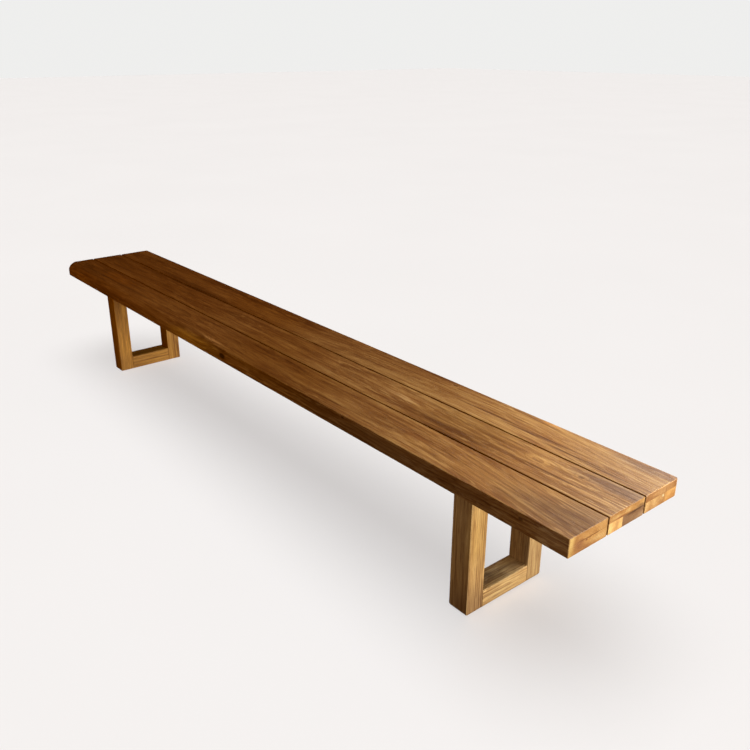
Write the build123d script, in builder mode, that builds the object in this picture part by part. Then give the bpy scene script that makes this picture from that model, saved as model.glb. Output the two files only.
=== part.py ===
from build123d import *

import os

# Backless garden bench in solid teak: three laminated planks on two closed leg frames.
# Frame: +X along the bench, +Y to its back, +Z up. The origin is on the floor, under the middle of the seat.
# All sizes are in millimetres.

# ---- driving dimensions ----
BENCH_LENGTH = 3000.0
BENCH_DEPTH = 420.0
BENCH_HEIGHT = 450.0
PLANK_THICKNESS = 50.0
PLANK_GAP = 5.0
TOP_BOARD_THICKNESS = 20.0

BATTEN_THICKNESS = 25.0
BATTEN_LENGTH = 340.0
LEG_BATTEN_WIDTH = 120.0
MID_BATTEN_WIDTH = 90.0
MID_BATTEN_SPACING = 560.0

LEG_SECTION = 60.0  # across the bench in the uprights, and upright in the rails
LEG_THICKNESS = 70.0  # along the bench
LEG_FRAME_DEPTH = 300.0
LEG_CENTRE = 1130.0  # from the middle of the bench to the middle of a leg frame

TENON_THICKNESS = 20.0
TENON_HEIGHT = 40.0
TENON_LENGTH = 35.0
MORTISE_SLACK = 2.0  # glue space past the tenon's end

EDGE_RADIUS = 2.5
LEG_EDGE_RADIUS = 3.0
FOOT_CHAMFER = 2.0
BACK_CORNER_RADIUS = 9.0  # rounded upright corner of the back plank's right end
WANE_CORNER_RADIUS = 52.0  # rounded upright corner where the natural edge runs out at the left end

# Fasteners
SCREW_RADIUS = 2.25
SCREW_HEAD_RADIUS = 4.75
SCREW_HEAD_HEIGHT = 3.0
SCREW_LENGTH = 50.0
DRIVE_RADIUS = 1.9
DRIVE_DEPTH = 1.8
PILOT_SLACK = 2.0
LAG_RADIUS = 4.0
LAG_LENGTH = 100.0
LAG_HEAD_FLATS = 13.0
LAG_HEAD_HEIGHT = 5.5
LAG_SPREAD = 100.0
WASHER_RADIUS = 11.0
WASHER_THICKNESS = 2.0
COUNTERBORE_RADIUS = 12.5
COUNTERBORE_DEPTH = 12.0
DOWEL_RADIUS = 6.0
DOWEL_LENGTH = 45.0
DOWEL_IN_UPRIGHT = 25.0

# ---- worked out from the above ----
HALF_LENGTH = BENCH_LENGTH / 2
HALF_DEPTH = BENCH_DEPTH / 2
PLANK_WIDTH = (BENCH_DEPTH - 2 * PLANK_GAP) / 3
SEAT_UNDERSIDE = BENCH_HEIGHT - PLANK_THICKNESS
LAMINATION = BENCH_HEIGHT - TOP_BOARD_THICKNESS  # glue line between top board and lower staves
FRAME_TOP = SEAT_UNDERSIDE - BATTEN_THICKNESS
SHOULDER = LEG_FRAME_DEPTH / 2 - LEG_SECTION  # half the rail's length between the uprights
UPRIGHT_CENTRE = LEG_FRAME_DEPTH / 2 - LEG_SECTION / 2
DOWEL_CENTRE = SHOULDER + TENON_LENGTH / 2  # each dowel also pegs a tenon of the top rail
TOP_RAIL_CENTRE = FRAME_TOP - LEG_SECTION / 2
BOTTOM_RAIL_CENTRE = LEG_SECTION / 2
LAG_SEAT = FRAME_TOP - LEG_SECTION + COUNTERBORE_DEPTH  # where the washer bears in the top rail

# Planks from front to back: the middle of each, and the front lower stave's share of its width.
PLANKS = {
    "front": (-(PLANK_WIDTH + PLANK_GAP), 0.40),
    "middle": (0.0, 0.39),
    "back": (PLANK_WIDTH + PLANK_GAP, 0.61),
}
SIDES = {"left": -1, "right": 1}
MID_BATTENS = {"left": -MID_BATTEN_SPACING, "centre": 0.0, "right": MID_BATTEN_SPACING}

# A middle batten has one row of two screws a plank. A leg batten has two rows of one screw a plank.
MID_SCREWS = [(0.0, y) for y in (-140.0, -90.0, -38.0, 38.0, 90.0, 140.0)]
LEG_SCREWS = [(x, y) for x in (-45.0, 45.0) for y in (-115.0, 0.0, 115.0)]

# Natural edge of the front plank: distance along the bench, width off the top, depth off the face.
WANE = [
    (-HALF_LENGTH - 5, 35.0, 27.0),
    (-1100.0, 33.0, 26.0),
    (-700.0, 31.0, 25.0),
    (-350.0, 28.0, 23.0),
    (-150.0, 20.0, 17.0),
    (-60.0, 9.0, 8.0),
    (-15.0, 2.0, 2.0),
]
WANE_BULGE = 0.36  # 0.29 would be a quarter round, 0.5 a flat chamfer
WANE_CLEAR = 6.0  # how far the cutter stands outside the plank

os.makedirs("parts", exist_ok=True)


def save(builder, name):
    """Labels a finished piece and writes its STEP file."""
    builder.part.label = name
    export_step(builder.part, f"parts/{name}.step")


def leg_x(side):
    return SIDES[side] * LEG_CENTRE


def batten_screws():
    """Every plank screw's place on the seat's underside, (x, y), by the batten that it goes through."""
    places = {}
    for side in SIDES:
        places[f"leg_batten_{side}"] = [(leg_x(side) + x, y) for x, y in LEG_SCREWS]
    for name, batten_x in MID_BATTENS.items():
        places[f"mid_batten_{name}"] = [(batten_x + x, y) for x, y in MID_SCREWS]
    return places


def lag_places(side):
    return [(leg_x(side), y) for y in (-LAG_SPREAD / 2, LAG_SPREAD / 2)]


def dowel_places(side):
    return [(leg_x(side), y) for y in (-DOWEL_CENTRE, DOWEL_CENTRE)]


def box_between(low_y, high_y, low_z, high_z, length=BENCH_LENGTH):
    """A board along the bench, in the open builder."""
    with Locations((0, (low_y + high_y) / 2, (low_z + high_z) / 2)):
        Box(length, high_y - low_y, high_z - low_z)


def wane_cutter():
    """The wood missing from the front plank's top edge, where the tree's rounded outside shows."""
    with BuildPart() as cutter:
        for x, width, depth in WANE:
            top, face = (-HALF_DEPTH + width, BENCH_HEIGHT), (-HALF_DEPTH, BENCH_HEIGHT - depth)
            middle = (-HALF_DEPTH + width * WANE_BULGE, BENCH_HEIGHT - depth * WANE_BULGE)
            with BuildSketch(Plane.YZ.offset(x)):
                with BuildLine():
                    ThreePointArc(top, middle, face)
                    Polyline(
                        face,
                        (-HALF_DEPTH - WANE_CLEAR, face[1]),
                        (-HALF_DEPTH - WANE_CLEAR, BENCH_HEIGHT + WANE_CLEAR),
                        (top[0], BENCH_HEIGHT + WANE_CLEAR),
                        top,
                    )
                make_face()
        loft()
    return cutter.part


def round_corner(name):
    """Rounds an outer plank's one worn upright corner, on the open builder's board."""
    upright_edges = edges().filter_by(Axis.Z)
    if name == "front":
        fillet(upright_edges.group_by(Axis.X)[0].sort_by(Axis.Y)[0], WANE_CORNER_RADIUS)
    if name == "back":
        fillet(upright_edges.group_by(Axis.X)[-1].sort_by(Axis.Y)[-1], BACK_CORNER_RADIUS)


def make_plank(name, wane):
    """One laminated plank: a top board over two lower staves, with pilot holes for its screws."""
    centre, share = PLANKS[name]
    low_y, high_y = centre - PLANK_WIDTH / 2, centre + PLANK_WIDTH / 2
    seam = low_y + share * PLANK_WIDTH

    with BuildPart() as board:
        box_between(low_y, high_y, LAMINATION, BENCH_HEIGHT)
        round_corner(name)
        fillet(faces().sort_by(Axis.Z)[-1].edges(), EDGE_RADIUS)
        if name == "front":
            add(wane, mode=Mode.SUBTRACT)
    save(board, f"{name}_plank_top_board")

    for stave, stave_low, stave_high, outer in (
        ("front", low_y, seam, 0),
        ("back", seam, high_y, -1),
    ):
        with BuildPart() as lower:
            box_between(stave_low, stave_high, SEAT_UNDERSIDE, LAMINATION)
            if stave == name:
                round_corner(name)
            underside = faces().sort_by(Axis.Z)[0]
            fillet(underside.edges().filter_by(Axis.X).sort_by(Axis.Y)[outer], EDGE_RADIUS)
            if stave == name == "front":
                add(wane, mode=Mode.SUBTRACT)
            drill_pilots(stave_low, stave_high)
        save(lower, f"{name}_plank_lower_stave_{stave}")


def round_bars(places, radius, level, height, mode):
    """A vertical round bar or hole at each place, up from this level, or down if height is negative."""
    with BuildSketch(Plane.XY.offset(level)) as circles:
        with Locations(*places):
            Circle(radius)
    extrude(circles.sketch, amount=height, mode=mode)


def drill_pilots(low_y, high_y):
    """Blind holes, up from the seat's underside, for the screws and lag bolts that enter this stave."""
    screws = [p for places in batten_screws().values() for p in places if low_y < p[1] < high_y]
    lags = [p for side in SIDES for p in lag_places(side) if low_y < p[1] < high_y]
    screw_depth = SCREW_LENGTH - BATTEN_THICKNESS + PILOT_SLACK
    lag_depth = LAG_SEAT - WASHER_THICKNESS + LAG_LENGTH - SEAT_UNDERSIDE + PILOT_SLACK
    if screws:
        round_bars(screws, SCREW_RADIUS, SEAT_UNDERSIDE, screw_depth, Mode.SUBTRACT)
    if lags:
        round_bars(lags, LAG_RADIUS, SEAT_UNDERSIDE, lag_depth, Mode.SUBTRACT)


def screw_heads(places, mode):
    """A countersunk head, or the mouth that it sits in, at each place on a batten's underside."""
    for x, y in places:
        with Locations((x, y, FRAME_TOP + SCREW_HEAD_HEIGHT / 2)):
            Cone(SCREW_HEAD_RADIUS, SCREW_RADIUS, SCREW_HEAD_HEIGHT, mode=mode)


def make_batten(name, centre_x, width, side=None):
    """A cross batten that ties the planks together. One over a leg also takes its lag bolts and dowels."""
    with BuildPart() as batten:
        with Locations((centre_x, 0, SEAT_UNDERSIDE - BATTEN_THICKNESS / 2)):
            Box(width, BATTEN_LENGTH, BATTEN_THICKNESS)
        chamfer(faces().sort_by(Axis.Z)[0].edges(), EDGE_RADIUS)
        screws, dowel_depth = batten_screws()[name], DOWEL_LENGTH - DOWEL_IN_UPRIGHT
        round_bars(screws, SCREW_RADIUS, FRAME_TOP, BATTEN_THICKNESS, Mode.SUBTRACT)
        screw_heads(screws, Mode.SUBTRACT)
        if side:
            round_bars(lag_places(side), LAG_RADIUS, FRAME_TOP, BATTEN_THICKNESS, Mode.SUBTRACT)
            round_bars(dowel_places(side), DOWEL_RADIUS, FRAME_TOP, dowel_depth, Mode.SUBTRACT)
    save(batten, name)


def tenon_boxes(centre_x, length, mode=Mode.ADD):
    """A block across the leg frame at each rail's height, as long as a rail with its two tenons."""
    with Locations((centre_x, 0, BOTTOM_RAIL_CENTRE), (centre_x, 0, TOP_RAIL_CENTRE)):
        Box(TENON_THICKNESS, length, TENON_HEIGHT, mode=mode)


def make_upright(name, side, front_back):
    """A leg's upright, with two blind mortises in its inner side and a dowel hole in its top."""
    x, y = leg_x(side), front_back * UPRIGHT_CENTRE
    with BuildPart() as upright:
        with Locations((x, y, FRAME_TOP / 2)):
            Box(LEG_THICKNESS, LEG_SECTION, FRAME_TOP)
        outer = edges().filter_by(Axis.Z).group_by(Axis.Y)[-1 if front_back > 0 else 0]
        fillet(outer, LEG_EDGE_RADIUS)
        foot = faces().sort_by(Axis.Z)[0].edges()
        inner_edge = foot.filter_by(Axis.X).sort_by(Axis.Y)[0 if front_back > 0 else -1]
        chamfer(foot - ShapeList([inner_edge]), FOOT_CHAMFER)
        tenon_boxes(x, 2 * (SHOULDER + TENON_LENGTH + MORTISE_SLACK), mode=Mode.SUBTRACT)
        dowel_place = (x, front_back * DOWEL_CENTRE)
        round_bars([dowel_place], DOWEL_RADIUS, FRAME_TOP, -DOWEL_IN_UPRIGHT, Mode.SUBTRACT)
    save(upright, name)


def make_rail(name, side, centre_z):
    """A rail of a leg frame, tenoned into both uprights."""
    x = leg_x(side)
    with BuildPart() as rail:
        with Locations((x, 0, centre_z)):
            Box(LEG_THICKNESS, 2 * SHOULDER, LEG_SECTION)
        fillet(edges().filter_by(Axis.Y).group_by(Axis.Z)[0], LEG_EDGE_RADIUS)
        with Locations((x, 0, centre_z)):
            Box(TENON_THICKNESS, 2 * (SHOULDER + TENON_LENGTH), TENON_HEIGHT)
        if centre_z == TOP_RAIL_CENTRE:
            underside = FRAME_TOP - LEG_SECTION
            round_bars(lag_places(side), LAG_RADIUS, underside, LEG_SECTION, Mode.SUBTRACT)
            round_bars(lag_places(side), COUNTERBORE_RADIUS, underside, COUNTERBORE_DEPTH, Mode.SUBTRACT)
            round_bars(dowel_places(side), DOWEL_RADIUS, FRAME_TOP, -DOWEL_IN_UPRIGHT, Mode.SUBTRACT)
    save(rail, name)


def make_plank_screws(name, places):
    """Countersunk wood screws, driven up through one batten. Separate solids in one node."""
    with BuildPart() as screws:
        round_bars(places, SCREW_RADIUS, FRAME_TOP, SCREW_LENGTH, Mode.ADD)
        screw_heads(places, Mode.ADD)
        with BuildSketch(Plane.XY.offset(FRAME_TOP)):
            with Locations(*places):
                RegularPolygon(DRIVE_RADIUS, 6)
        extrude(amount=DRIVE_DEPTH, mode=Mode.SUBTRACT)
    save(screws, name)


def make_leg_fixings(side):
    """Two hex lag bolts with washers, up through the top rail, and two dowels that locate the leg frame."""
    head_bottom = LAG_SEAT - WASHER_THICKNESS - LAG_HEAD_HEIGHT
    with BuildPart() as bolts:
        with BuildSketch(Plane.XY.offset(head_bottom)):
            with Locations(*lag_places(side)):
                RegularPolygon(LAG_HEAD_FLATS / 2, 6, major_radius=False)
        extrude(amount=LAG_HEAD_HEIGHT)
        round_bars(lag_places(side), LAG_RADIUS, head_bottom + LAG_HEAD_HEIGHT, LAG_LENGTH, Mode.ADD)
    save(bolts, f"lag_bolts_{side}")

    with BuildPart() as washers:
        washer_bottom = LAG_SEAT - WASHER_THICKNESS
        round_bars(lag_places(side), WASHER_RADIUS, washer_bottom, WASHER_THICKNESS, Mode.ADD)
        round_bars(lag_places(side), LAG_RADIUS, washer_bottom, WASHER_THICKNESS, Mode.SUBTRACT)
    save(washers, f"lag_washers_{side}")

    with BuildPart() as dowels:
        round_bars(dowel_places(side), DOWEL_RADIUS, FRAME_TOP - DOWEL_IN_UPRIGHT, DOWEL_LENGTH, Mode.ADD)
    save(dowels, f"locating_dowels_{side}")


def main():
    wane = wane_cutter()
    for name in PLANKS:
        make_plank(name, wane)

    for side in SIDES:
        make_batten(f"leg_batten_{side}", leg_x(side), LEG_BATTEN_WIDTH, side)
        make_upright(f"front_upright_{side}", side, -1)
        make_upright(f"back_upright_{side}", side, 1)
        make_rail(f"bottom_rail_{side}", side, BOTTOM_RAIL_CENTRE)
        make_rail(f"top_rail_{side}", side, TOP_RAIL_CENTRE)
        make_leg_fixings(side)
    for name, batten_x in MID_BATTENS.items():
        make_batten(f"mid_batten_{name}", batten_x, MID_BATTEN_WIDTH)

    for batten, places in batten_screws().items():
        make_plank_screws(f"screws_{batten}", places)


main()
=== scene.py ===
import math

import bpy
import numpy as np
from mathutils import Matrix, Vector
from mathutils.noise import fractal


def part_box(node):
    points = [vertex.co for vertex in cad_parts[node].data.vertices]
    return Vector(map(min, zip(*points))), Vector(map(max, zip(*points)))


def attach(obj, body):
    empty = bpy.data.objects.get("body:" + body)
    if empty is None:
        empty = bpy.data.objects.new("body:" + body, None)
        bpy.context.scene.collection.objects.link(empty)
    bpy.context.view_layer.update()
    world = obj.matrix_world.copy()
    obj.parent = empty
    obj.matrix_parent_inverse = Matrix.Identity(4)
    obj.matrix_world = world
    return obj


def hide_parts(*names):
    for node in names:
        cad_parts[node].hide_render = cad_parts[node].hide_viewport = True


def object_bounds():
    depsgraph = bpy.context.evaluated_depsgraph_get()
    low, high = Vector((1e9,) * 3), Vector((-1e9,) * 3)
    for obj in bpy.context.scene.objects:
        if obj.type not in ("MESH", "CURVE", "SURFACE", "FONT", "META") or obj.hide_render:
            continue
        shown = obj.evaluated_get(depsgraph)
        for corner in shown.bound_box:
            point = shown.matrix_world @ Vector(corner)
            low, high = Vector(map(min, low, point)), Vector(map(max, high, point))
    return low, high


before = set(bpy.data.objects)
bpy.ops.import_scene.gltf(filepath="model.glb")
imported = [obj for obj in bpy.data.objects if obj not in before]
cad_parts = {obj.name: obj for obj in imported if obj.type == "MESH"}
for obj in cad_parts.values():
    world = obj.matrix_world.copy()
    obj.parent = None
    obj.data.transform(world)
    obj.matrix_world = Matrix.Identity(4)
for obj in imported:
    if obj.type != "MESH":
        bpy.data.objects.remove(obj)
cad_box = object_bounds()

# Everything is in metres, in the row's frame: +X along the bench, +Y to its back, +Z up.
SIDES = ("left", "right")
PLANKS = ("front", "middle", "back")
STAVES = ("front", "back")
MM = 0.001

# ---- sizes of the made pieces ----
PLANK_EDGE = 2.2 * MM
END_EDGE = 1.3 * MM
GAP_EDGE = 1.0 * MM  # the planks' long edges beside a gap stay crisp
FOOT_EDGE = {"left": 3.5 * MM, "right": 14.0 * MM}
LEG_EDGE = 3.5 * MM
INNER_EDGE = 1.2 * MM
JOINT_EDGE = 0.2 * MM
SUPPORT = 0.6 * MM  # a grid line this far inside each rounded edge keeps the flat faces flat in shading
ROUND_LINE = 0.586  # of the radius: the grid line at 22.5 degrees round an edge
CLOSEST = 0.04 * MM  # grid lines nearer to each other than this are one line
SHARP = math.radians(38)  # faces that meet at more than this keep a sharp edge
PLANK_STEP = (12 * MM, 4.5 * MM, 4.5 * MM)
LEG_STEP = (5 * MM, 5 * MM, 7 * MM)
HAND_WORN = 0.45 * MM  # how far the finished surfaces wander inwards
EDGE_WORN = 3 * HAND_WORN  # and how much further the rounded edges do
FACE_WAVES = (4.0, 16.0)  # waves per metre along the grain and across it
EDGE_WAVES = (22.0, 60.0)

# The front plank's natural edge: distance along the bench, width off the top, depth off the face.
WANE_X = (-1.505, -1.10, -0.70, -0.35, -0.15, -0.06, -0.015)
WANE_WIDTH = (0.035, 0.033, 0.031, 0.028, 0.020, 0.009, 0.0015)
WANE_DEPTH = (0.027, 0.026, 0.025, 0.023, 0.017, 0.008, 0.0015)
WANE_SWELL = 0.10  # how much the edge swells and shrinks along the plank, of its width
CRISP = 4 * MM  # where the natural edge is narrower than this, it wears like any other edge
LEFT_CORNER = 52 * MM
RIGHT_CORNER = 9 * MM


# ---------------------------------------------------------------- meshes

def stations(low, high, step, round_low, round_high, more=()):
    """Grid lines across a block: evenly spaced, and closer together in its rounded edges."""
    near_low = [0, ROUND_LINE * round_low, round_low, round_low + SUPPORT]
    near_high = [0, ROUND_LINE * round_high, round_high, round_high + SUPPORT]
    inner_low, inner_high = low + near_low[-1], high - near_high[-1]
    count = max(1, round((inner_high - inner_low) / step))
    lines = [low + d for d in near_low] + [high - d for d in near_high] + list(more)
    lines += list(np.linspace(inner_low, inner_high, count + 1))
    lines = np.array(sorted(x for x in lines if low <= x <= high))
    return lines[np.r_[True, np.diff(lines) > CLOSEST]]


def lattice(lines):
    """The surface of a box with these grid lines: its points, its outward quads."""
    counts = [len(x) for x in lines]
    index = np.indices(counts)
    outside = np.zeros(counts, bool)
    for axis, count in enumerate(counts):
        outside |= (index[axis] == 0) | (index[axis] == count - 1)
    number = -np.ones(counts, int)
    number[outside] = np.arange(outside.sum())
    points = np.stack(np.meshgrid(*lines, indexing="ij"), -1)[outside]
    quads = []
    for axis in range(3):
        for end in (0, -1):
            side = np.take(number, end, axis)
            a, b, c, d = side[:-1, :-1], side[1:, :-1], side[1:, 1:], side[:-1, 1:]
            turned = (end == 0) != (axis == 1)
            order = (a, d, c, b) if turned else (a, b, c, d)
            quads.append(np.stack(order, -1).reshape(-1, 4))
    return points, np.concatenate(quads)


def wander(points, amount, waves, grain):
    """Smooth noise from 0 to amount at each point, stretched along the grain."""
    scale = np.full(3, waves[1])
    scale[grain] = waves[0]
    heights = [0.5 + 0.5 * fractal(Vector(p), 1.0, 2.0, 3) for p in points * scale]
    return amount * np.array(heights).clip(0, 1)


def block(name, low, high, step, round_low, round_high, grain, shape, more):
    """A board or post: a box with rounded edges on a grid, its outside a little uneven, as worked by hand.
    A side whose rounding is 0 is a glued joint: it stays flat, with sharp edges, and meets its neighbour.
    shape moves the points into the piece's own outline, and more has the extra grid lines that it needs."""
    low, high = np.array(low, float), np.array(high, float)
    r_low, r_high = np.array(round_low, float), np.array(round_high, float)
    lines = [stations(low[i], high[i], step[i], r_low[i], r_high[i], more[i]) for i in range(3)]
    points, quads = lattice(lines)
    centre = points.clip(low + r_low, high - r_high)
    offset = points - centre
    reach = np.where(offset < 0, r_low, r_high)
    outward = np.divide(offset, reach, out=np.zeros_like(offset), where=reach > 0)
    length = np.linalg.norm(outward, axis=1)
    wear = ((length - 1) / (math.sqrt(2) - 1)).clip(0, 1)
    points = centre + offset / length.clip(1, None)[:, None]
    outward /= length.clip(1e-9, None)[:, None]
    points, wear = shape(points, wear)
    points = points - outward * wander(points, HAND_WORN, FACE_WAVES, grain)[:, None]
    points = points - outward * (wear * wander(points, EDGE_WORN, EDGE_WAVES, grain))[:, None]

    mesh = bpy.data.meshes.new(name)
    mesh.from_pydata(points.tolist(), [], quads.tolist())
    mesh.attributes.new("wear", "FLOAT", "POINT").data.foreach_set("value", wear.astype(np.float32))
    mesh.polygons.foreach_set("use_smooth", [True] * len(mesh.polygons))
    mesh.set_sharp_from_angle(angle=SHARP)
    piece = bpy.data.objects.new(name, mesh)
    bpy.context.scene.collection.objects.link(piece)
    return piece


def place(piece, node, slot, material):
    """Gives a made piece its material, and lets it stand for its CAD node."""
    piece.data.materials.append(material)
    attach(piece, "root")
    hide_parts(node)


# ---------------------------------------------------------------- shader building

class Graph:
    """A short way to write one material's nodes."""

    def __init__(self, name):
        self.material = bpy.data.materials.new(name)
        self.material.use_nodes = True
        self.tree = self.material.node_tree
        self.tree.nodes.clear()

    def add(self, kind, inputs=(), **settings):
        node = self.tree.nodes.new("ShaderNode" + kind)
        for key, value in settings.items():
            setattr(node, key, value)
        for key, value in dict(inputs).items():
            self.put(node.inputs[key], value)
        return node

    def put(self, socket, value):
        if isinstance(value, bpy.types.NodeSocket):
            self.tree.links.new(value, socket)
        else:
            socket.default_value = value

    def math(self, operation, a, b=0.0, c=0.0):
        return self.add("Math", {0: a, 1: b, 2: c}, operation=operation).outputs[0]

    def plus(self, a, b):
        return self.math("ADD", a, b)

    def times(self, a, b):
        return self.math("MULTIPLY", a, b)

    def vector(self, operation, a, b=(0, 0, 0)):
        return self.add("VectorMath", {0: a, 1: b}, operation=operation).outputs[0]

    def total(self, *terms, base=0.0):
        """The base plus each value times its weight."""
        for value, weight in terms:
            base = self.math("MULTIPLY_ADD", value, weight, base)
        return base

    def distance(self, place, centre, size):
        """How far a place is from a centre, in half sizes."""
        apart = self.vector("DIVIDE", self.vector("SUBTRACT", place, centre), size)
        return self.length(apart)

    def length(self, a):
        return self.add("VectorMath", {0: a}, operation="LENGTH").outputs["Value"]

    def split(self, a):
        return self.add("SeparateXYZ", {0: a}).outputs[:]

    def join(self, x, y, z):
        return self.add("CombineXYZ", {0: x, 1: y, 2: z}).outputs[0]

    def noise(self, at, detail=2.0, rough=0.5, bend=0.0, output="Fac"):
        inputs = {"Vector": at, "Scale": 1.0, "Detail": detail, "Roughness": rough, "Distortion": bend}
        return self.add("TexNoise", inputs).outputs[output]

    def stretched(self, at, scales, **settings):
        return self.noise(self.vector("MULTIPLY", at, scales), **settings)

    def step(self, value, start, end, low=0.0, high=1.0):
        inputs = {"Value": value, "From Min": start, "From Max": end, "To Min": low, "To Max": high}
        return self.add("MapRange", inputs, interpolation_type="SMOOTHSTEP").outputs[0]

    def ramp(self, value, stops):
        node = self.add("ValToRGB", {0: value})
        elements = node.color_ramp.elements
        while len(elements) < len(stops):
            elements.new(0.5)
        for element, (position, colour) in zip(elements, stops):
            element.position = position
            element.color = (*colour, 1)
        return node.outputs[0]

    def mix(self, amount, a, b, blend="MIX"):
        node = self.add("Mix", data_type="RGBA", blend_type=blend)
        self.put(node.inputs[0], amount)
        for socket, value in ((node.inputs[6], a), (node.inputs[7], b)):
            self.put(socket, value if isinstance(value, bpy.types.NodeSocket) else (*value, 1))
        return node.outputs[2]

    def tint(self, amount, colour, by):
        """Multiplies a colour by another, by this amount."""
        return self.mix(amount, colour, self.mix(1.0, colour, by, "MULTIPLY"))

    def finish(self, colour, roughness, height, relief, **fixed):
        bump = self.add("Bump", {"Height": height, "Strength": 1.0, "Distance": relief})
        inputs = {"Base Color": colour, "Roughness": roughness, "Normal": bump.outputs[0], **fixed}
        shader = self.add("BsdfPrincipled", inputs)
        output = self.add("OutputMaterial")
        self.tree.links.new(shader.outputs[0], output.inputs[0])
        return self.material


# ---------------------------------------------------------------- wood

# Four tones of each wood, from dark to pale
TEAK = ((0.150, 0.055, 0.014), (0.262, 0.114, 0.031), (0.362, 0.185, 0.056), (0.480, 0.280, 0.100))
PALE_TEAK = ((0.225, 0.112, 0.038), (0.370, 0.203, 0.071), (0.475, 0.280, 0.102), (0.590, 0.375, 0.150))
# Painted shade: a redder copy of the teak, for the shaded left leg.
SHADE_RED_TEAK = ((0.270, 0.112, 0.020), (0.460, 0.210, 0.038), (0.590, 0.290, 0.054), (0.700, 0.375, 0.080))
TONE_STOPS = (0.385, 0.472, 0.540, 0.630)  # where the four tones stand on the noise's own range
LATE_WOOD = (0.50, 0.41, 0.35)
DARK_THREAD = (0.60, 0.51, 0.46)
KNOT = (0.045, 0.016, 0.006)
GRAIN_AXES = {"x": (0, 1, 2), "y": (1, 0, 2), "z": (2, 0, 1)}
SEED_SHIFT = (7.31, 3.17, 5.77)  # each piece of wood is cut this far from the next, times its seed
HALF = (0.5, 0.5, 0.5)

# Noise scales, per metre: along the fibres, and twice across them
SWAY = (0.8, 2.5, 2.5)
RIPPLE = (5.0, 20, 20)
BROAD = (1.3, 15, 15)
PATCHES = (2.2, 9, 9)
STREAKS = (4.0, 92, 92)
FINE = (8.0, 200, 200)
FINEST = (16, 560, 560)
THREADS = (11, 230, 230)
SILK = (13, 140, 140)
PORES = (60, 1000, 1000)

SWAY_REACH = 0.045  # how far the fibres stray sideways, in metres
RIPPLE_REACH = 0.008
TINT_RIPPLE = (0.06, 0.012, 0.012)  # how far the outlines of tints stray
YEAR_SPREAD = 1.6  # how uneven the years are, in years
WOOD_RELIEF = 0.30 * MM
RUB = 0.35  # how far worn edges go to the palest tone


def wood_places(g, grain, seed, drifts):
    """The object's own coordinates, then those of its straight and its bent fibres, with x along the grain.
    Also the bent fibres' two cross coordinates, and the ripple in them."""
    at = g.add("TexCoord").outputs["Object"]
    xyz = g.split(at)
    along, left, up = (xyz[i] for i in GRAIN_AXES[grain])
    for start, end, amount in drifts:
        left = g.plus(left, g.step(along, start, end, 0.0, amount))
    own_part = tuple(shift * seed for shift in SEED_SHIFT)
    straight = g.vector("ADD", g.join(along, left, up), own_part)

    sway = g.vector("SUBTRACT", g.stretched(straight, SWAY, output="Color"), HALF)
    ripple = g.vector("SUBTRACT", g.stretched(straight, RIPPLE, detail=3.0, output="Color"), HALF)
    sways, ripples = g.split(sway), g.split(ripple)
    flow = []
    for i, side in enumerate((left, up)):
        flow.append(g.plus(side, g.total((sways[i], SWAY_REACH), (ripples[i], RIPPLE_REACH))))
    bent = g.vector("ADD", g.join(along, *flow), own_part)
    return at, straight, bent, flow, ripple


def growth_rings(g, at, flow, seed, pith, ring, knots):
    """Years of growth round the pith, pushed aside by the knots. Returns how much of a point is late wood,
    its year's own tone, and how much of it is a knot's dark core."""
    from_pith = [g.math("SUBTRACT", flow[i], pith[i]) for i in range(2)]
    radius = g.length(g.join(*from_pith, 0.0))
    core = 0.0
    for where, size, push, darkness in knots:
        away = g.distance(at, where, size)
        radius = g.plus(radius, g.step(away, 0.0, 4.0, push, 0.0))
        core = g.math("MAXIMUM", core, g.step(away, 0.70, 1.20, darkness, 0.0))
    years = g.math("DIVIDE", radius, ring)
    uneven = g.noise(g.join(years, seed * 1.7, 0.0), detail=1.0)
    years = g.plus(years, g.times(uneven, YEAR_SPREAD))
    season = g.math("FRACT", years)
    late = g.times(g.step(season, 0.42, 0.92), g.step(season, 0.92, 1.0, 1.0, 0.0))
    by_year = g.add("TexWhiteNoise", {"W": g.math("FLOOR", years)}, noise_dimensions="1D")
    return late, by_year.outputs["Value"], core


def tinted(g, colour, place, kind_of_face, tints):
    """Multiplies each tint into the colour round its place, on one kind of face."""
    for where, size, tint, strength in tints:
        share = g.step(g.distance(place, where, size), 0.25, 1.0, strength, 0.0)
        colour = g.tint(g.times(kind_of_face, share), colour, tint)
    return colour


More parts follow.
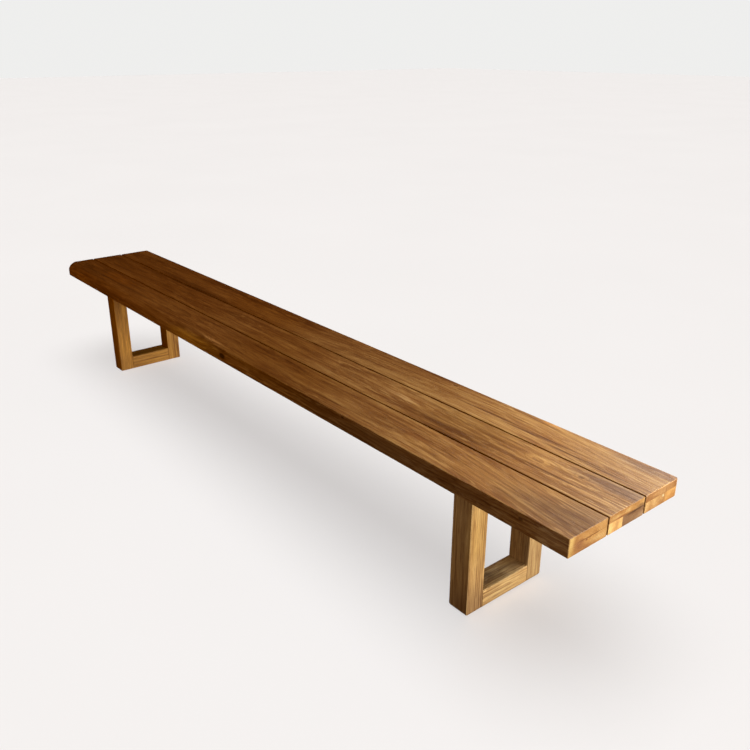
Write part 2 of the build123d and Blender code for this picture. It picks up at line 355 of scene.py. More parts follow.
def wood(name, grain, seed, pith, ring=0.0055, tones=TEAK, lines=0.60, flecks=0.42, knots=(), tints=(),
         ends=(), drifts=(), edge_wear_and_highlight=RUB):
    """Solid wood: growth rings round a pith, fibres along the grain, so that every face shows its own cut.
    grain is the axis of the fibres, pith the tree's middle on the two other axes, ring a year's width.
    lines and flecks are the strengths of the late wood and of the pale silky flecks, which are partly
    painted sheen; rub is how pale the edges go, as wear and, where it is raised, as a painted highlight.
    A knot is (place, half sizes, push on the rings, darkness).
    A tint is (place, half sizes, colour, strength): tints are on the long faces, ends on the cut ones.
    A drift is (start, end, amount): how far the fibres move sideways between two places along the grain."""
    g = Graph(name)
    at, straight, bent, flow, ripple = wood_places(g, grain, seed, drifts)
    late, year_tone, knot_core = growth_rings(g, at, flow, seed, pith, ring, knots)
    facing = g.split(g.add("NewGeometry").outputs["Normal"])[GRAIN_AXES[grain][0]]
    cut_across = g.step(g.math("ABSOLUTE", facing), 0.6, 0.8)
    lengthwise = g.math("SUBTRACT", 1.0, cut_across)

    broad = g.stretched(straight, BROAD, detail=3.0, rough=0.6)
    patches = g.stretched(straight, PATCHES, detail=2.0)
    streaks = g.stretched(bent, STREAKS, detail=3.0, rough=0.65)
    fine = g.stretched(bent, FINE, detail=3.0, rough=0.65)
    finest = g.stretched(bent, FINEST, detail=2.0)
    pores = g.step(g.stretched(bent, PORES, detail=1.0), 0.58, 0.70)

    long_tone = g.total((broad, 0.31), (year_tone, 0.08), (streaks, 0.26), (fine, 0.26), (finest, 0.09))
    end_tone = g.total((broad, 0.38), (fine, 0.08), base=0.29)
    tone = g.plus(g.times(long_tone, lengthwise), g.times(end_tone, cut_across))
    colour = g.ramp(tone, list(zip(TONE_STOPS, tones)))

    ring_depth = g.times(late, g.step(patches, 0.30, 0.62, 0.25 * lines, lines))
    ring_depth = g.times(ring_depth, g.total((lengthwise, 0.65), base=0.35))
    colour = g.tint(ring_depth, colour, LATE_WOOD)
    threads = g.step(g.stretched(bent, THREADS, detail=2.0, bend=0.4), 0.55, 0.62)
    threads = g.times(threads, g.step(patches, 0.38, 0.60, 0.65, 0.25))
    colour = g.tint(g.times(threads, lengthwise), colour, DARK_THREAD)
    # Pale silk flecks along the grain: partly the wood's figure, partly painted sheen.
    silk_and_sheen = g.step(g.stretched(bent, SILK, detail=2.0, bend=0.8), 0.53, 0.66)
    silk_and_sheen = g.times(silk_and_sheen, g.step(patches, 0.42, 0.58, 0.12, flecks))
    colour = g.mix(g.times(silk_and_sheen, lengthwise), colour, tuple(1.20 * c for c in tones[3]))
    colour = g.mix(g.times(pores, 0.30), colour, tones[0])

    warped = g.vector("ADD", at, g.vector("MULTIPLY", ripple, TINT_RIPPLE))
    colour = tinted(g, colour, warped, lengthwise, tints)
    colour = tinted(g, colour, warped, cut_across, ends)
    if knots:
        colour = g.mix(knot_core, colour, KNOT)
    wear = g.add("Attribute", attribute_name="wear").outputs["Fac"]
    # Worn edges go paler; where the strength is raised, this is also a painted highlight along the edges.
    worn_and_highlit_edges = g.times(wear, g.step(fine, 0.35, 0.65, 0.15 * edge_wear_and_highlight, edge_wear_and_highlight))
    colour = g.mix(worn_and_highlit_edges, colour, tuple(1.10 * c for c in tones[3]))

    roughness = g.total((broad, 0.16), (pores, 0.12), base=0.36)
    height = g.total((fine, 0.5), (finest, 0.4), (pores, -0.8), (late, -0.35))
    return g.finish(colour, roughness, height, WOOD_RELIEF)


def steel(name, colour, rough):
    """Zinc-plated steel: fine scratches and dull patches."""
    g = Graph(name)
    at = g.add("TexCoord").outputs["Object"]
    scratch = g.stretched(at, (900, 900, 120), detail=3.0, rough=0.7)
    patch = g.stretched(at, (160, 160, 160), detail=2.0)
    shade = g.mix(g.step(patch, 0.35, 0.7), colour, tuple(0.62 * c for c in colour))
    roughness = g.total((scratch, 0.14), (patch, 0.18), base=rough)
    return g.finish(shade, roughness, scratch, 0.02 * MM, Metallic=1.0)


# ---------------------------------------------------------------- the three planks

def natural_edge(points, wear):
    """Rolls the front plank's upper front edge back to the outside of the tree."""
    x, y, z = points.T
    front, top = cad_box[0][1], cad_box[1][2]
    swell = 1 + WANE_SWELL * np.array([fractal(Vector((a * 5, 3.1, 0)), 1.0, 2.0, 3) for a in x])
    width = np.interp(x, WANE_X, WANE_WIDTH, right=1e-6) * swell
    depth = np.interp(x, WANE_X, WANE_DEPTH, right=1e-6) * swell
    inset, drop = y - front, top - z
    back = ((width - inset) / width).clip(0, None)
    down = ((depth - drop) / depth).clip(0, None)
    length = np.hypot(back, down)
    outside = (back > 0) & (down > 0) & (length > 1)
    y = np.where(outside, front + width - (width - inset) / length.clip(1, None), y)
    z = np.where(outside, top - depth + (depth - drop) / length.clip(1, None), z)
    return np.stack([x, y, z], -1), np.where(outside & (width > CRISP), 0, wear)


def rounded_corner(points, x_end, y_side, radius, seam):
    """Rounds an upright corner in plan by drawing in the wood between the seam and the side."""
    x, y, z = points.T
    into = (radius - np.abs(x_end - x)).clip(0, radius)
    drawn_in = radius - np.sqrt(radius**2 - into**2)
    share = ((y - seam) / (y_side - seam)).clip(0, 1)
    return np.stack([x, y - np.sign(y_side) * drawn_in * share, z], -1)


def corner_lines(x_end, radius):
    """Grid lines that follow an upright corner's curve."""
    angles = np.linspace(0, math.pi / 2, 9)
    return list(x_end - np.sign(x_end) * radius * (1 - np.cos(angles)))


def plank_shape(plank, seam):
    """What a plank's own outline does to the points of its boards."""
    def shape(points, wear):
        if plank == "front":
            points, wear = natural_edge(points, wear)
            points = rounded_corner(points, cad_box[0][0], cad_box[0][1], LEFT_CORNER, seam)
        if plank == "back":
            points = rounded_corner(points, cad_box[1][0], cad_box[1][1], RIGHT_CORNER, seam)
        return points, wear

    return shape


def make_planks(materials):
    """Each plank is a top board on two lower staves. Its edges at a gap are crisper than its outer ones."""
    more_x = {
        "front": corner_lines(cad_box[0][0], LEFT_CORNER),
        "middle": (),
        "back": corner_lines(cad_box[1][0], RIGHT_CORNER),
    }
    for plank in PLANKS:
        board = f"{plank}_plank_top_board"
        fore, aft = (f"{plank}_plank_lower_stave_{stave}" for stave in STAVES)
        shape = plank_shape(plank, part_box(fore)[1][1])
        edge = PLANK_EDGE
        end = PLANK_EDGE if plank == "back" else END_EDGE
        near = PLANK_EDGE if plank == "front" else GAP_EDGE
        far = PLANK_EDGE if plank == "back" else GAP_EDGE
        for node, round_low, round_high in (
            (board, (end, near, 0), (end, far, end)),
            (fore, (end, near, edge), (end, 0, 0)),
            (aft, (end, 0, edge), (end, far, 0)),
        ):
            low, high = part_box(node)
            more = (more_x[plank], (), ())
            piece = block(f"{node}_look", low, high, PLANK_STEP, round_low, round_high, 0, shape, more)
            place(piece, node, "seat_wood", materials[node])


# Tints, each multiplied into a stretch of the wood; those marked below are painted light and shade.
# Partly the wood's own greyish purple, partly painted sheen at the planks' right ends.
GREY_PURPLE_AND_SHEEN = (0.60, 0.60, 0.80)
DARK_BAND = (0.55, 0.46, 0.40)
DARK_DASH = (0.42, 0.32, 0.28)
RED_BROWN = (0.74, 0.62, 0.58)
GOLDEN = (1.32, 1.42, 1.50)
SAPWOOD = (1.45, 1.90, 2.10)
# Painted highlight: a whitish glint on curled and silky grain.
PAINTED_GLINT = (1.90, 2.30, 3.20)
FILLER = (1.50, 2.40, 4.00)
BRIGHT = (1.40, 1.50, 1.60)
GREY_HEART = (0.47, 0.46, 0.64)
SHADED = (0.64, 0.64, 0.72)
GLUE_LINE = (0.50, 0.42, 0.36)
# Painted shade: the left end of all three planks is made redder, the deep hue that end has in shade.
SHADE_RED_END = (1.08, 0.80, 0.50)  # the left end of all three planks is redder
EVERYWHERE = (9, 9, 9)
PLANK_Y = {"front": -0.142, "middle": 0.0, "back": 0.142}

# (place, half sizes, colour, strength), in metres
TINTS = {
    "front": [
        ((-1.34, -0.110, 0.45), (0.10, 0.018, 0.02), GOLDEN, 0.7),
        ((-0.95, -0.150, 0.45), (0.40, 0.006, 0.02), DARK_BAND, 0.8),
        ((-0.67, -0.165, 0.45), (0.12, 0.014, 0.02), GOLDEN, 0.8),
        # Painted light: the top paler here.
        ((-1.08, -0.120, 0.45), (0.20, 0.060, 0.02), (1.30, 1.25, 1.00), 0.9),
        # Painted highlight on the swirl beside the knot.
        ((-0.07, -0.188, 0.45), (0.09, 0.009, 0.02), PAINTED_GLINT, 1.0),
        ((0.015, -0.210, 0.424), (0.040, 0.020, 0.018), RED_BROWN, 1.0),
        ((-0.200, -0.212, 0.424), (0.26, 0.016, 0.050), (2.20, 2.70, 1.60), 1.0),
        # Painted light: the face and the natural edge above it paler, where the rounded edge catches the
        # light.
        ((-1.300, -0.212, 0.424), (0.20, 0.012, 0.040), (1.45, 1.55, 1.20), 1.0),
        # Painted shade: the top darker and redder along the middle of the bench.
        ((0.25, -0.142, 0.452), (0.50, 0.30, 0.024), (0.78, 0.68, 0.48), 1.0),
        # Painted light: the front face paler here.
        ((-0.500, -0.214, 0.424), (0.22, 0.014, 0.050), (1.25, 1.35, 1.30), 1.0),
        # Painted light: the front face paler here.
        ((0.250, -0.214, 0.424), (0.40, 0.014, 0.050), (1.35, 1.35, 1.05), 1.0),
        # Painted light: the front face paler and bluer at the right end, as in the cooler light there.
        ((1.460, -0.214, 0.430), (0.10, 0.014, 0.050), (1.30, 1.50, 1.90), 1.0),
        ((0.950, -0.214, 0.420), (0.65, 0.014, 0.050), SHADED, 1.0),
        ((0.42, -0.100, 0.45), (0.12, 0.014, 0.02), GOLDEN, 0.5),
        ((0.93, -0.135, 0.45), (0.08, 0.020, 0.02), RED_BROWN, 0.7),
        ((0.95, -0.082, 0.45), (0.12, 0.005, 0.02), GOLDEN, 0.8),
        # Painted shade: the top darker and greyer towards the right end.
        ((1.50, -0.150, 0.45), (0.34, 0.080, 0.030), (0.62, 0.64, 0.77), 1.0),
        ((1.41, -0.155, 0.45), (0.13, 0.018, 0.03), RED_BROWN, 0.5),
        # Greyish purple, partly painted sheen.
        ((1.48, -0.086, 0.45), (0.13, 0.030, 0.03), GREY_PURPLE_AND_SHEEN, 0.6),
    ],
    "middle": [
        ((-0.75, 0.064, 0.45), (0.35, 0.007, 0.02), DARK_DASH, 0.8),
        ((-1.02, 0.010, 0.45), (0.10, 0.024, 0.02), GOLDEN, 0.6),
        ((0.32, 0.020, 0.45), (0.20, 0.030, 0.02), GOLDEN, 0.4),
        # Painted highlight on silky grain.
        ((0.70, 0.010, 0.45), (0.11, 0.016, 0.02), PAINTED_GLINT, 0.35),
        ((0.97, -0.034, 0.45), (0.26, 0.016, 0.02), DARK_BAND, 1.0),
        ((1.23, 0.022, 0.45), (0.06, 0.018, 0.02), GOLDEN, 1.0),
        ((1.30, -0.018, 0.45), (0.25, 0.005, 0.02), DARK_BAND, 1.0),
        # Greyish purple, partly painted sheen.
        ((1.45, 0.048, 0.45), (0.20, 0.036, 0.03), GREY_PURPLE_AND_SHEEN, 1.0),
        ((1.42, -0.012, 0.45), (0.24, 0.022, 0.03), GOLDEN, 1.0),
        # Painted shade: the top darker here.
        ((0.98, 0.000, 0.45), (0.24, 0.30, 0.10), (0.82, 0.79, 0.70), 1.0),
        # Painted shade: the top darker and redder here.
        ((0.10, 0.000, 0.45), (0.30, 0.30, 0.10), (0.87, 0.79, 0.62), 1.0),
        # Painted sheen: the top paler and bluer towards the right end.
        ((1.50, 0.000, 0.45), (0.30, 0.30, 0.10), (1.04, 1.16, 1.40), 1.0),
    ],
    "back": [
        ((-0.80, 0.095, 0.45), (0.48, 0.014, 0.02), DARK_BAND, 0.9),
        ((-0.70, 0.079, 0.45), (0.45, 0.007, 0.02), DARK_DASH, 0.9),
        ((-0.80, 0.170, 0.45), (0.14, 0.004, 0.02), DARK_BAND, 0.9),
        ((0.40, 0.118, 0.45), (0.24, 0.006, 0.02), DARK_BAND, 0.8),
        ((1.12, 0.203, 0.45), (0.05, 0.012, 0.02), (1.25, 1.15, 1.05), 0.9),
        # Greyish purple, partly painted sheen.
        ((1.43, 0.184, 0.45), (0.14, 0.026, 0.03), GREY_PURPLE_AND_SHEEN, 0.8),
        # Painted shade: the top darker and redder along the middle of the bench.
        ((-0.25, 0.142, 0.45), (0.45, 0.30, 0.10), (0.80, 0.68, 0.45), 1.0),
        # Painted sheen: the top greyer and bluer towards the right end.
        ((1.50, 0.142, 0.45), (0.36, 0.30, 0.10), (0.91, 0.98, 1.14), 1.0),
        ((0.95, 0.126, 0.45), (0.17, 0.0055, 0.02), DARK_DASH, 1.0),
        ((1.10, 0.115, 0.45), (0.16, 0.0055, 0.02), DARK_DASH, 1.0),
        ((1.18, 0.122, 0.45), (0.12, 0.0050, 0.02), DARK_DASH, 1.0),
        ((1.27, 0.101, 0.45), (0.15, 0.0055, 0.02), DARK_DASH, 1.0),
        ((1.37, 0.093, 0.45), (0.13, 0.0050, 0.02), DARK_DASH, 1.0),
        ((1.375, 0.178, 0.45), (0.04, 0.009, 0.02), GOLDEN, 0.9),
    ],
}

# The same on the end grain of the right ends. A plank's are on its top board, and a lower stave's are under
# its own name. The front plank's three boards share one list.
END_REACH = 0.2
ENDS = {
    "front": [
        ((1.50, -0.212, 0.425), (END_REACH, 0.030, 0.20), SAPWOOD, 1.0),
        ((1.50, -0.172, 0.424), (END_REACH, 0.030, 0.018), (0.66, 0.56, 0.66), 0.9),
        ((1.50, -0.158, 0.408), (END_REACH, 0.046, 0.014), (0.70, 0.62, 0.66), 1.0),
        ((1.50, -0.148, 0.426), (END_REACH, 0.006, 0.004), (0.50, 0.36, 0.34), 1.0),
        ((1.50, -0.108, 0.414), (END_REACH, 0.036, 0.010), (1.10, 1.24, 1.50), 0.9),
        ((1.50, -0.130, 0.430), (END_REACH, 0.070, 0.0024), GLUE_LINE, 1.0),
    ],
    "middle": [
        ((1.50, -0.042, 0.439), (END_REACH, 0.032, 0.007), (1.28, 1.50, 1.80), 1.0),
        ((1.50, 0.002, 0.439), (END_REACH, 0.018, 0.008), (1.25, 1.48, 1.80), 1.0),
        ((1.50, -0.026, 0.4325), (END_REACH, 0.036, 0.004), (0.66, 0.52, 0.50), 1.0),
        ((1.50, 0.054, 0.433), (END_REACH, 0.028, 0.008), (0.52, 0.50, 0.52), 1.0),
        ((1.50, 0.000, 0.430), (END_REACH, 0.080, 0.0020), GLUE_LINE, 0.8),
    ],
    "back": [
        ((1.50, 0.142, 0.430), (END_REACH, 0.080, 0.0018), GLUE_LINE, 0.7),
        ((1.50, 0.142, 0.442), (END_REACH, 0.200, 0.100), (0.86, 0.83, 0.95), 1.0),
        ((1.50, 0.158, 0.440), (END_REACH, 0.0018, 0.014), GLUE_LINE, 0.9),
        ((1.50, 0.110, 0.440), (END_REACH, 0.024, 0.005), (1.22, 1.30, 1.40), 1.0),
    ],
    "middle_plank_lower_stave_front": [
        ((1.50, -0.042, 0.415), (END_REACH, 0.060, 0.040), (1.95, 2.50, 3.20), 1.0),
    ],
    "middle_plank_lower_stave_back": [
        ((1.50, 0.034, 0.4285), (END_REACH, 0.050, 0.006), (0.42, 0.38, 0.42), 1.0),
        ((1.50, 0.060, 0.406), (END_REACH, 0.030, 0.012), GOLDEN, 0.8),
    ],
    "back_plank_lower_stave_front": [
        ((1.50, 0.115, 0.415), (END_REACH, 0.080, 0.040), (1.34, 1.60, 2.10), 0.9),
        ((1.50, 0.147, 0.424), (END_REACH, 0.005, 0.006), FILLER, 1.0),
    ],
    "back_plank_lower_stave_back": [
        ((1.50, 0.185, 0.415), (END_REACH, 0.060, 0.040), BRIGHT, 0.9),
    ],
}

# (place, half sizes, push on the rings, darkness)
KNOTS = {
    "front": [
        ((-0.060, -0.190, 0.450), (0.026, 0.012, 0.012), -0.012, 0.0),
        ((0.015, -0.212, 0.424), (0.019, 0.020, 0.010), 0.014, 0.95),
        ((0.705, -0.212, 0.442), (0.007, 0.012, 0.004), 0.010, 0.75),
        ((1.365, -0.212, 0.434), (0.007, 0.012, 0.004), 0.002, 0.70),
    ],
    "middle": [
        ((1.225, 0.020, 0.450), (0.022, 0.009, 0.012), -0.012, 0.0),
        ((1.350, 0.025, 0.450), (0.008, 0.005, 0.008), 0.008, 0.4),
    ],
    "back": [((0.755, 0.190, 0.450), (0.010, 0.004, 0.006), 0.008, 0.6)],
}

# (start, end, amount)
DRIFTS = {
    "front": ((-0.2, 0.5, 0.015), (0.9, 1.6, 0.060)),
    "middle": ((0.6, 1.5, 0.020),),
    "back": ((-0.1, 0.65, -0.045), (0.9, 1.6, 0.050)),
}

# Each plank's seed, and where its tree's pith is in Y and Z
PLANK_TREES = {"front": (1.0, (-0.13, 0.33)), "middle": (3.1, (0.02, 0.31)), "back": (6.4, (0.19, 0.34))}
STAVE_TREES = {"front": (1.3, -0.07), "back": (2.1, 0.06)}  # added to the plank's seed, and to its pith's Y
STAVE_PITH_RISE = 0.1
# The back plank's edges go paler than the others': wear, with a painted highlight along them.
PLANK_EDGE_WEAR_AND_HIGHLIGHT = {"front": RUB, "middle": RUB, "back": 0.9}


def plank_materials():
    """Each board is cut from its own part of a tree, but the front plank's three boards share one."""
    made = {}
    for plank, (seed, pith) in PLANK_TREES.items():
        # Painted shade: the redder left end, on every board.
        shade_red_end = ((-1.50, PLANK_Y[plank], 0.42), (2.5, 0.4, 0.4), SHADE_RED_END, 1.0)
        tints, ends = [shade_red_end] + TINTS[plank], [shade_red_end] + ENDS[plank]
        board = wood(f"teak_{plank}_plank", "x", seed, pith, knots=KNOTS[plank], tints=tints, ends=ends,
                     drifts=DRIFTS[plank], edge_wear_and_highlight=PLANK_EDGE_WEAR_AND_HIGHLIGHT[plank])
        made[f"{plank}_plank_top_board"] = board
        for stave, (seed_step, shift) in STAVE_TREES.items():
            node = f"{plank}_plank_lower_stave_{stave}"
            if plank == "front":
                made[node] = board
                continue
            base = [shade_red_end]
            if node == "middle_plank_lower_stave_back":
                base.append(((0, 0, 0.41), EVERYWHERE, GREY_HEART, 1.0))
            stave_pith = (pith[0] + shift, pith[1] + STAVE_PITH_RISE)
            made[node] = wood(f"teak_{plank}_stave_{stave}", "x", seed + seed_step, stave_pith, tints=base,
                              ends=base + ENDS.get(node, []))
    return made


# ---------------------------------------------------------------- the two leg frames

# Darker towards the floor, at the foot of each upright.
DARKER_AT_FOOT = (0.62, 0.60, 0.66)
# Painted shade: the bottom rails' tops darker and greyer, where the seat shades them.
RAIL_TOP_SHADE = (0.55, 0.60, 0.70)
# The legs' edges go paler than the default: wear, with a painted highlight along them.
LEG_EDGE_WEAR_AND_HIGHLIGHT = 0.8
# Lit and shaded copies of one teak: the left leg's redder tones are painted shade, the right leg's paler
# ones painted light.
LIT_AND_SHADED_LEG_TONES = {"left": SHADE_RED_TEAK, "right": PALE_TEAK}
UPRIGHT_SEED, SEED_BETWEEN_LEGS, RAIL_SEED = 11.3, 3.7, 21.7
UPRIGHT_RING = 0.006

# The same kind of tints as the planks'
LEG_TINTS = {
    "front_upright_right": [
        ((1.16, -0.12, 0.00), (0.20, 0.20, 0.13), DARKER_AT_FOOT, 1.0),
        # Painted light: the upright's front face paler and bluer, as in the cooler light there.
        ((1.13, -0.155, 0.20), (0.06, 0.014, 0.35), (1.08, 1.16, 1.24), 1.0),
        # Painted light: the upper part of its right-hand face brighter, where the low light falls.
        ((1.17, -0.12, 0.27), (0.03, 0.10, 0.16), (1.10, 1.10, 0.94), 1.0),
    ],
    # Painted shade: the back upright's right-hand face darker and bluer.
    "back_upright_right": [((1.17, 0.12, 0.10), (0.03, 0.10, 0.30), (0.85, 0.92, 1.06), 1.0)],
    "bottom_rail_right": [
        # Painted shade on the rail's top, under the seat.
        ((1.13, 0.00, 0.060), (0.06, 0.15, 0.004), (0.61, 0.70, 0.86), 1.0),
        ((1.12, -0.03, 0.060), (0.03, 0.028, 0.006), (0.55, 0.52, 0.50), 0.8),
        ((1.14, 0.03, 0.060), (0.03, 0.026, 0.006), (1.50, 1.55, 1.60), 0.8),
        # Painted light: the lower part of the rail's right-hand face paler and bluer.
        ((1.17, 0.00, 0.030), (0.02, 0.15, 0.040), (1.10, 1.25, 1.44), 1.0),
    ],
    "front_upright_left": [
        ((-1.10, -0.12, 0.00), (0.20, 0.20, 0.13), DARKER_AT_FOOT, 0.3),
        # Painted light: the upright's right-hand face paler, where the light reaches it.
        ((-1.095, -0.12, 0.25), (0.03, 0.16, 0.38), (1.32, 1.30, 1.10), 1.0),
        ((-1.10, -0.11, 0.30), (0.02, 0.014, 0.05), (1.30, 1.35, 1.40), 0.8),
    ],
    # Painted shade: the back upright darker.
    "back_upright_left": [((-1.10, 0.12, 0.15), (0.20, 0.20, 0.30), (0.86, 0.84, 0.80), 1.0)],
    "bottom_rail_left": [
        # Painted shade on the rail's top, under the seat.
        ((-1.13, 0.00, 0.060), (0.06, 0.15, 0.004), RAIL_TOP_SHADE, 1.0),
        # Painted light: the lower part of the rail's right-hand face a little paler and yellower.
        ((-1.10, 0.00, 0.030), (0.02, 0.20, 0.050), (1.02, 1.02, 0.88), 1.0),
    ],
}


def eased_foot(low, high, radius, joint=None):
    """Rounds a foot by drawing in its sides near the floor. The side at the joint keeps its place."""
    middle, half = (low[0] + high[0]) / 2, (high[0] - low[0]) / 2

    def shape(points, wear):
        x, y, z = points.T
        down = (low[2] + radius - z).clip(0, radius)
        inset = radius - np.sqrt(radius**2 - down**2)
        x = middle + (x - middle) * (1 - inset / half)
        if joint is not None:
            y = joint + (y - joint) * (1 - inset / (high[1] - low[1]))
        return np.stack([x, y, z], -1), wear

    lines = [low[2] + radius * (1 - math.sin(angle)) for angle in np.linspace(0, math.pi / 2, 9)]
    return shape, ((), (), lines)


def make_upright(node, side, outer, seed):
    """One upright of a leg frame: outer is -1 for the front one and 1 for the back one.
    Returns where its rail meets it."""
    low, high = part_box(node)
    joint = high[1] if outer < 0 else low[1]
    round_low = (LEG_EDGE, LEG_EDGE if outer < 0 else INNER_EDGE, LEG_EDGE)
    round_high = (LEG_EDGE, INNER_EDGE if outer < 0 else LEG_EDGE, INNER_EDGE)
    shape, more = eased_foot(low, high, FOOT_EDGE[side], joint)
    piece = block(f"{node}_look", low, high, LEG_STEP, round_low, round_high, 2, shape, more)
    pith = (low[0] + 0.045, low[1] - 0.07 * outer)
    material = wood(f"teak_{node}", "z", seed, pith, ring=UPRIGHT_RING, tones=LIT_AND_SHADED_LEG_TONES[side], lines=0.8,
                    tints=LEG_TINTS[node], edge_wear_and_highlight=LEG_EDGE_WEAR_AND_HIGHLIGHT)
    place(piece, node, "leg_wood", material)
    return joint


def make_bottom_rail(node, side, joints, seed):
    """The rail near the floor, from one upright to the other, without the tenons inside them."""
    low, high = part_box(node)
    low[1], high[1] = joints
    round_low = (LEG_EDGE, JOINT_EDGE, LEG_EDGE)
    round_high = (LEG_EDGE, JOINT_EDGE, INNER_EDGE)
    shape, more = eased_foot(low, high, FOOT_EDGE[side])
    piece = block(f"{node}_look", low, high, LEG_STEP, round_low, round_high, 1, shape, more)
    pith = (low[0] + 0.01, 0.10)
    material = wood(f"teak_{node}", "y", seed, pith, tones=LIT_AND_SHADED_LEG_TONES[side], lines=1.0, flecks=0.8,
                    tints=LEG_TINTS[node], edge_wear_and_highlight=LEG_EDGE_WEAR_AND_HIGHLIGHT)
    place(piece, node, "leg_wood", material)


def make_legs():
    """Two uprights and a bottom rail for each leg frame."""
    for number, side in enumerate(SIDES):
        joints = []
        for end, outer in (("front", -1), ("back", 1)):
            seed = UPRIGHT_SEED + SEED_BETWEEN_LEGS * number + outer
            joints.append(make_upright(f"{end}_upright_{side}", side, outer, seed))
        make_bottom_rail(f"bottom_rail_{side}", side, joints, RAIL_SEED + number)


BATTEN_SEED, SEED_BETWEEN_NODES, TOP_RAIL_SEED, DOWEL_SEED = 40.0, 1.3, 25.0, 31.0
BATTEN_PITH_Z, TOP_RAIL_PITH_Z = 0.30, 0.42
ZINC = (0.56, 0.55, 0.52)


def dress_hidden_parts():
    """The top rails, battens and fixings keep their CAD shape, and get their materials here."""
    zinc = steel("zinc_plated_steel", ZINC, 0.28)
    beech = wood("dowel_beech", "z", DOWEL_SEED, (0.0, 0.0), ring=0.002, tones=PALE_TEAK, lines=0.3)
    for number, (node, piece) in enumerate(sorted(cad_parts.items())):
        if piece.hide_render:
            continue
        low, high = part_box(node)
        if "batten" in node and not node.startswith("screws"):
            seed = BATTEN_SEED + SEED_BETWEEN_NODES * number
            material = wood(f"teak_{node}", "y", seed, (low[0] + 0.03, BATTEN_PITH_Z))
        elif node.startswith("top_rail"):
            seed = TOP_RAIL_SEED + number
            material = wood(f"teak_{node}", "y", seed, (low[0], TOP_RAIL_PITH_Z), tones=PALE_TEAK)
        else:
            material = beech if node.startswith("locating_dowels") else zinc
        piece.data.materials.clear()
        piece.data.materials.append(material)


# ---------------------------------------------------------------- stage, light and camera

PALE = (0.86, 0.86, 0.85)  # the backdrop, and close to what the floor comes out at
FLOOR_HALF = 40.0
FLOOR_TONES = ((0.80, 0.79, 0.78), (0.83, 0.82, 0.81))
FLOOR_SUN = 0.8  # straight down, for a faint soft shadow
FLOOR_FILL = 2.5  # the rest of the floor's light casts none
SUN_SPREAD = math.radians(60)
SUN_COLOUR = (0.97, 1.0, 1.03)
ROOM_AIR = 0.11  # the even light from the dim room round the bench
WARM = (1.0, 0.50, 0.16)  # the room's own light, off a wooden floor and brown walls
DEEP_SHADE = (0.000, 0.003, 0.003)  # what the camera records as black
CAMERA_AT = (2.3462, -1.4433, 1.4167)
CAMERA_SIDE, CAMERA_RISE = math.radians(51.05), math.radians(22.38)  # its place, round Z and above level
LENS = 38.4


def make_stage():
    """A plain pale floor."""
    floor = bpy.data.meshes.new("floor")
    corners = [(x * FLOOR_HALF, y * FLOOR_HALF, 0) for x, y in ((-1, -1), (1, -1), (1, 1), (-1, 1))]
    floor.from_pydata(corners, [], [(0, 1, 2, 3)])
    floor_piece = bpy.data.objects.new("floor", floor)
    bpy.context.scene.collection.objects.link(floor_piece)
    g = Graph("floor_paint")
    at = g.add("TexCoord").outputs["Object"]
    soft = g.stretched(at, (0.7, 0.7, 0.7))
    shade = g.mix(soft, *FLOOR_TONES)
    floor.materials.append(g.finish(shade, 0.9, soft, 0.01 * MM))
    return floor_piece


def only_on(lamp, pieces, name):
    """Keeps a light on these pieces alone."""
    group = bpy.data.collections.new(name)
    for piece in pieces:
        group.objects.link(piece)
    lamp.light_linking.receiver_collection = group


def area_light(name, at, target, size, power, colour=(1, 1, 1)):
    """A soft rectangular light that faces its target."""
    light = bpy.data.lights.new(name, "AREA")
    light.shape, light.size, light.size_y = "RECTANGLE", *size
    light.energy, light.color = power, colour
    lamp = bpy.data.objects.new(name, light)
    lamp.location = at
    lamp.rotation_euler = (Vector(target) - Vector(at)).to_track_quat("-Z", "Y").to_euler()
    bpy.context.scene.collection.objects.link(lamp)
    return lamp


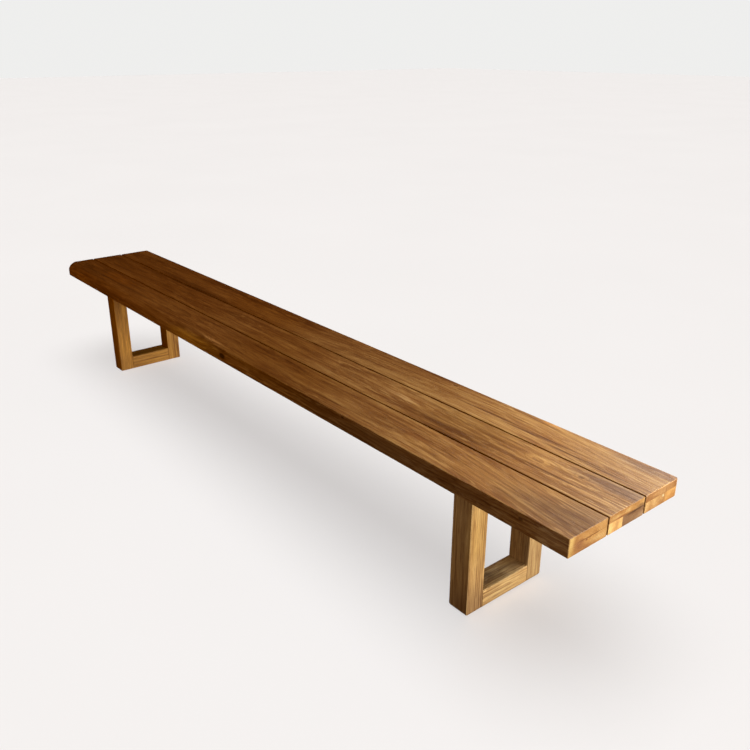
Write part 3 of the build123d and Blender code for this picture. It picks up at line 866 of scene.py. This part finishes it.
def make_light(floor):
    """Windows beyond the bench's right end and behind it light the bench, and so do two walls before it.
    Two suns of the floor's own keep it pale."""
    shown = [o for o in bpy.context.scene.objects if o.type == "MESH" and not o.hide_render and o != floor]
    lamps = [
        area_light("far_window", (6.8, 0.1, 0.85), (0.0, 0.0, 0.3), (2.2, 1.5), 450, (1.0, 0.98, 0.92)),
        area_light("near_window", (1.85, 0.65, 1.35), (1.3, 0.0, 0.45), (0.8, 0.8), 32, (1.0, 1.0, 0.95)),
        area_light("back_window", (0.9, 2.6, 1.5), (0.9, 0.0, 0.45), (1.6, 1.2), 24),
        area_light("right_wall", (2.6, -3.0, 0.9), (1.1, 0.0, 0.3), (1.5, 1.5), 15, (0.97, 1.12, 1.32)),
        area_light("left_wall", (-2.2, -2.6, 1.7), (-0.8, 0.0, 0.35), (2.0, 1.5), 6, (1.0, 0.50, 0.20)),
    ]
    for lamp in lamps:
        lit = [o for o in shown if lamp.name != "right_wall" or "left" not in o.name]
        only_on(lamp, lit, f"lit_by_{lamp.name}")
    for name, energy, shadow in (("floor_sun", FLOOR_SUN, True), ("floor_fill", FLOOR_FILL, False)):
        sun = bpy.data.objects.new(name, bpy.data.lights.new(name, "SUN"))
        sun.data.energy, sun.data.use_shadow = energy, shadow
        sun.data.angle, sun.data.color = SUN_SPREAD, SUN_COLOUR
        bpy.context.scene.collection.objects.link(sun)
        only_on(sun, [floor], f"lit_by_{name}")
    floor.visible_diffuse = floor.visible_glossy = False


def make_room():
    """The dim room's even light on the bench, and the pale backdrop that the camera sees instead."""
    world = bpy.data.worlds.new("room_air")
    world.use_nodes = True
    tree = world.node_tree
    seen = tree.nodes.new("ShaderNodeBackground")
    seen.inputs["Color"].default_value = (*PALE, 1)
    air = tree.nodes["Background"]
    air.inputs["Color"].default_value = (*WARM, 1)
    air.inputs["Strength"].default_value = ROOM_AIR
    path, blend = tree.nodes.new("ShaderNodeLightPath"), tree.nodes.new("ShaderNodeMixShader")
    tree.links.new(path.outputs["Is Camera Ray"], blend.inputs[0])
    tree.links.new(air.outputs[0], blend.inputs[1])
    tree.links.new(seen.outputs[0], blend.inputs[2])
    tree.links.new(blend.outputs[0], tree.nodes["World Output"].inputs["Surface"])
    bpy.context.scene.world = world


def make_camera():
    """Looks at the bench from off its right front corner, and sets what comes out black."""
    level = math.cos(CAMERA_RISE)
    back = Vector((math.sin(CAMERA_SIDE) * level, -math.cos(CAMERA_SIDE) * level, math.sin(CAMERA_RISE)))
    lens = bpy.data.cameras.new("camera")
    lens.sensor_width, lens.lens = 36.0, LENS
    lens.shift_x, lens.shift_y = 0.0093, 0.0005
    lens.clip_end = 200
    camera = bpy.data.objects.new("camera", lens)
    camera.location = CAMERA_AT
    camera.rotation_euler = (-back).to_track_quat("-Z", "Y").to_euler()
    bpy.context.scene.collection.objects.link(camera)
    bpy.context.scene.camera = camera
    view = bpy.context.scene.view_settings
    view.view_transform = "Standard"
    view.use_curve_mapping = True
    view.curve_mapping.black_level = DEEP_SHADE
    view.curve_mapping.update()


make_camera()
make_planks(plank_materials())
make_legs()
dress_hidden_parts()
make_light(make_stage())
make_room()
